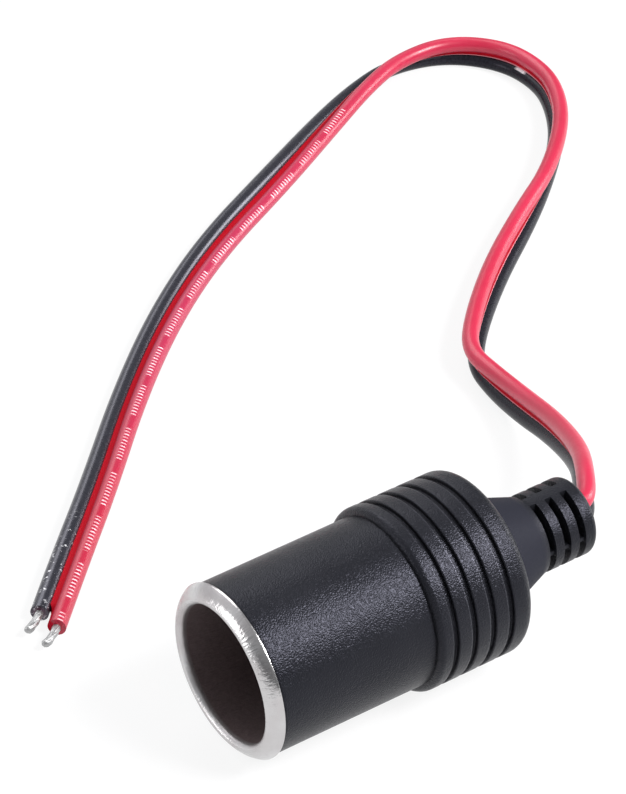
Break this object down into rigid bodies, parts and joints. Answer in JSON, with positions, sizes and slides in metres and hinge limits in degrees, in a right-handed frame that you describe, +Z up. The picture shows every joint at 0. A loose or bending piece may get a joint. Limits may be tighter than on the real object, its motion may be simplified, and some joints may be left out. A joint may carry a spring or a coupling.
{
  "type": "car 12 V power socket",
  "caption": "Inline 12 V car power socket: a plated round shell in a ribbed black moulded body, with a slotted strain relief and a red and black twin lead with bare tinned ends.",
  "frame": {"origin": "on the floor under the middle of the socket's length, where the socket lies on its rim and its grip", "axes": "+X along the socket from its mouth to its strain relief, +Z up; the lead goes off towards +X and +Y"},
  "size_m": [0.1613, 0.158, 0.0286],
  "materials": {
    "body_pvc": "fine-grained satin black",
    "nickel_plate": "bright nickel plate on drawn steel",
    "insulator_fibre": "dull brown phenolic",
    "contact_brass": "stamped and riveted",
    "solder": "dull grey",
    "tinned_copper": "tinned strands",
    "red_pvc": "smooth semi-gloss",
    "black_pvc": "smooth semi-gloss"
  },
  "bodies": {
    "root": {"moulded_body": "body_pvc", "socket_shell": "nickel_plate", "contact_insulator": "insulator_fibre", "centre_contact": "contact_brass", "insulating_washer": "insulator_fibre", "positive_tag": "contact_brass", "negative_tag": "contact_brass", "positive_solder": "solder", "negative_solder": "solder", "red_conductor": "tinned_copper", "black_conductor": "tinned_copper", "red_lead": "red_pvc", "black_lead": "black_pvc"}
  },
  "joints": []
}
